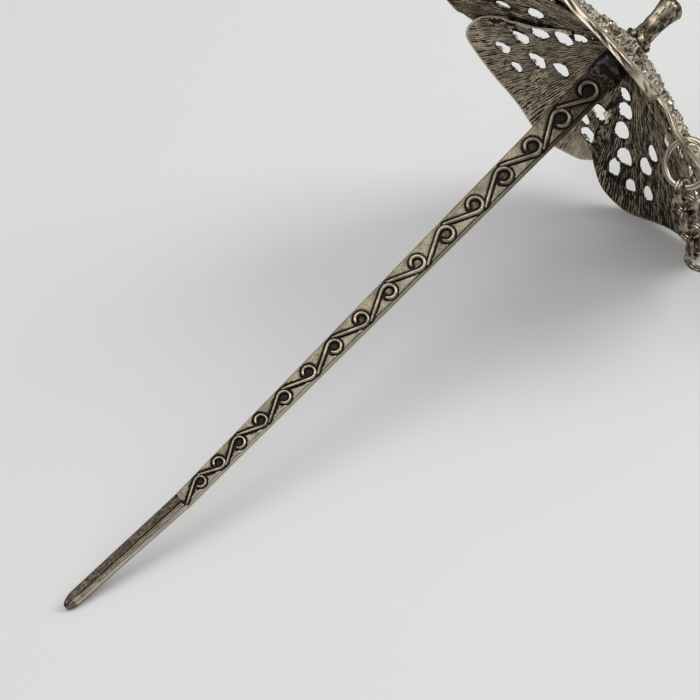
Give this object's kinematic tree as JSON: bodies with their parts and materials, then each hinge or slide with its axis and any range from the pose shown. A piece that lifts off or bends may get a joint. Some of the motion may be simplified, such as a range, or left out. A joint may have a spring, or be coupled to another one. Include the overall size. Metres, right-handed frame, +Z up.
{
  "type": "hair stick",
  "caption": "Antiqued metal hair stick: flat tapering shaft with raised running scrolls, pierced five-petal flower with a pistil, and a jump ring with a short chain.",
  "frame": {"origin": "middle of the footprint on the surface that the hair stick lies on, as it rests by itself", "axes": "+X from the stick's point towards the flower, +Y away from the hanging ring and chain, +Z up"},
  "size_m": [0.1276, 0.062, 0.0587],
  "materials": {
    "shaft_metal": "antiqued pewter, dark in the recesses",
    "petal_metal": "antiqued pewter, engraved and granulated",
    "pistil_metal": "antiqued pewter, worn bright",
    "ring_wire": "silver-toned wire, lightly antiqued",
    "chain_wire": "silver-toned wire, antiqued"
  },
  "bodies": {
    "root": {"stick": "shaft_metal", "bloom": "petal_metal", "pistil": "pistil_metal", "jump_ring": "ring_wire", "link_01": "chain_wire", "link_02": "chain_wire", "link_03": "chain_wire", "link_04": "chain_wire", "link_05": "chain_wire", "link_06": "chain_wire"}
  },
  "joints": []
}
